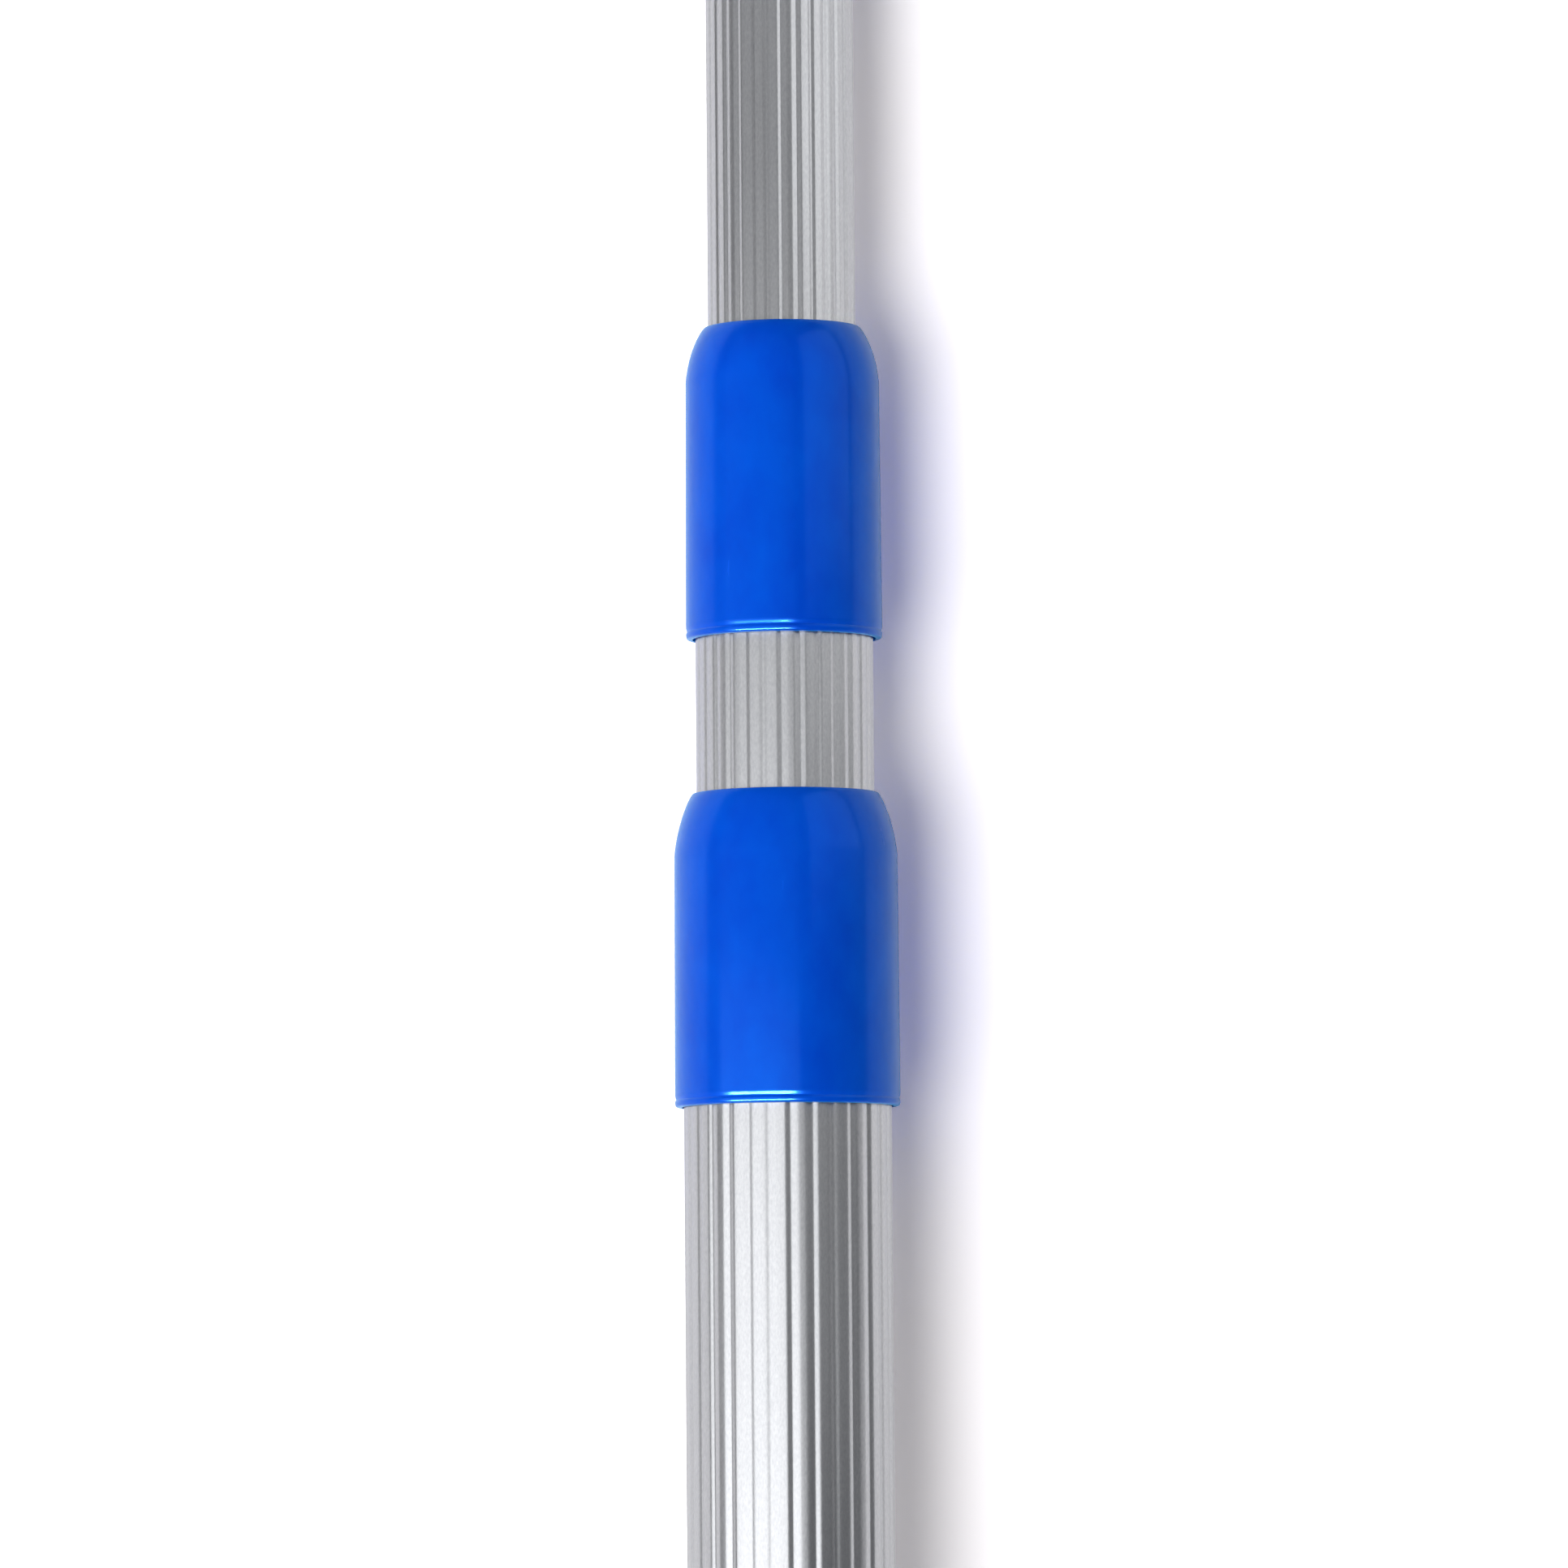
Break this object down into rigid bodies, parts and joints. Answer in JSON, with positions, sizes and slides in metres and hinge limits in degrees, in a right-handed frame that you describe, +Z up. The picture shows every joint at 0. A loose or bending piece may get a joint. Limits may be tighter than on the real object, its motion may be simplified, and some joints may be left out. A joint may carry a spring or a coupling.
{
  "type": "pool wall brush",
  "caption": "Wide pool wall brush with curved ends on a telescopic fluted aluminium pole with blue moulded collars, twist locks, spring clip and hand grip.",
  "frame": {"origin": "on the floor, under the middle of the whole brush as it lies", "axes": "+Y along the pole towards the hand grip, +X across the head, +Z up"},
  "size_m": [0.398, 1.054, 0.0731],
  "materials": {
    "anodised_tube": "satin, extruded flutes",
    "blue_moulding": "smooth moulded, soft gloss",
    "white_moulding": "moulded",
    "grey_moulding": "moulded",
    "bright_steel": "bright plated",
    "soft_grip": "soft moulded, fine matt",
    "bristle_nylon": "crimped filament"
  },
  "bodies": {
    "outer_stage": {"outer_tube": "anodised_tube", "outer_collar": "blue_moulding", "brush_socket": "blue_moulding", "clip_bridge": "bright_steel", "clip_screw": "bright_steel", "brush_back": "blue_moulding", "foot_screw_1": "bright_steel", "foot_screw_2": "bright_steel", "foot_screw_3": "bright_steel", "foot_screw_4": "bright_steel", "bristle_row_1": "bristle_nylon", "bristle_row_2": "bristle_nylon", "bristle_row_3": "bristle_nylon", "bristle_row_4": "bristle_nylon", "bristle_row_5": "bristle_nylon"},
    "clip_left": {"clip_arm_left": "bright_steel", "clip_button_left": "bright_steel"},
    "clip_right": {"clip_arm_right": "bright_steel", "clip_button_right": "bright_steel"},
    "middle_cam": {"middle_lock_cam": "grey_moulding"},
    "middle_stage": {"middle_tube": "anodised_tube", "middle_collar": "blue_moulding", "middle_lock_plug": "white_moulding", "middle_lock_screw": "bright_steel"},
    "inner_cam": {"inner_lock_cam": "grey_moulding"},
    "inner_stage": {"inner_tube": "anodised_tube", "inner_lock_plug": "white_moulding", "inner_lock_screw": "bright_steel", "hand_grip": "soft_grip", "end_cap": "blue_moulding"}
  },
  "joints": [
    {"name": "middle_slide", "type": "slide", "parent": "outer_stage", "child": "middle_cam", "axis": [0, 0.9994, -0.0335], "range_m": [-0.0205, 0.485]},
    {"name": "middle_twist", "type": "hinge", "parent": "middle_cam", "child": "middle_stage", "pos_m": [0, -0.34703, 0.04396], "axis": [0, 0.9994, -0.0335], "range_deg": [-16, 16]},
    {"name": "inner_slide", "type": "slide", "parent": "middle_stage", "child": "inner_cam", "axis": [0, 0.9994, -0.0335], "range_m": [-0.0635, 0.435]},
    {"name": "inner_twist", "type": "hinge", "parent": "inner_cam", "child": "inner_stage", "pos_m": [0, -0.2231, 0.03981], "axis": [0, 0.9994, -0.0335], "range_deg": [-16, 16]},
    {"name": "clip_left_press", "type": "hinge", "parent": "outer_stage", "child": "clip_left", "pos_m": [-0.0084, -0.39094, 0.04443], "axis": [0, 0.0335, 0.9994], "range_deg": [0, 6.4], "stiffness_Nm_per_rad": 2},
    {"name": "clip_right_press", "type": "hinge", "parent": "outer_stage", "child": "clip_right", "pos_m": [0.0084, -0.39094, 0.04443], "axis": [0, -0.0335, -0.9994], "range_deg": [0, 6.4], "stiffness_Nm_per_rad": 2}
  ]
}
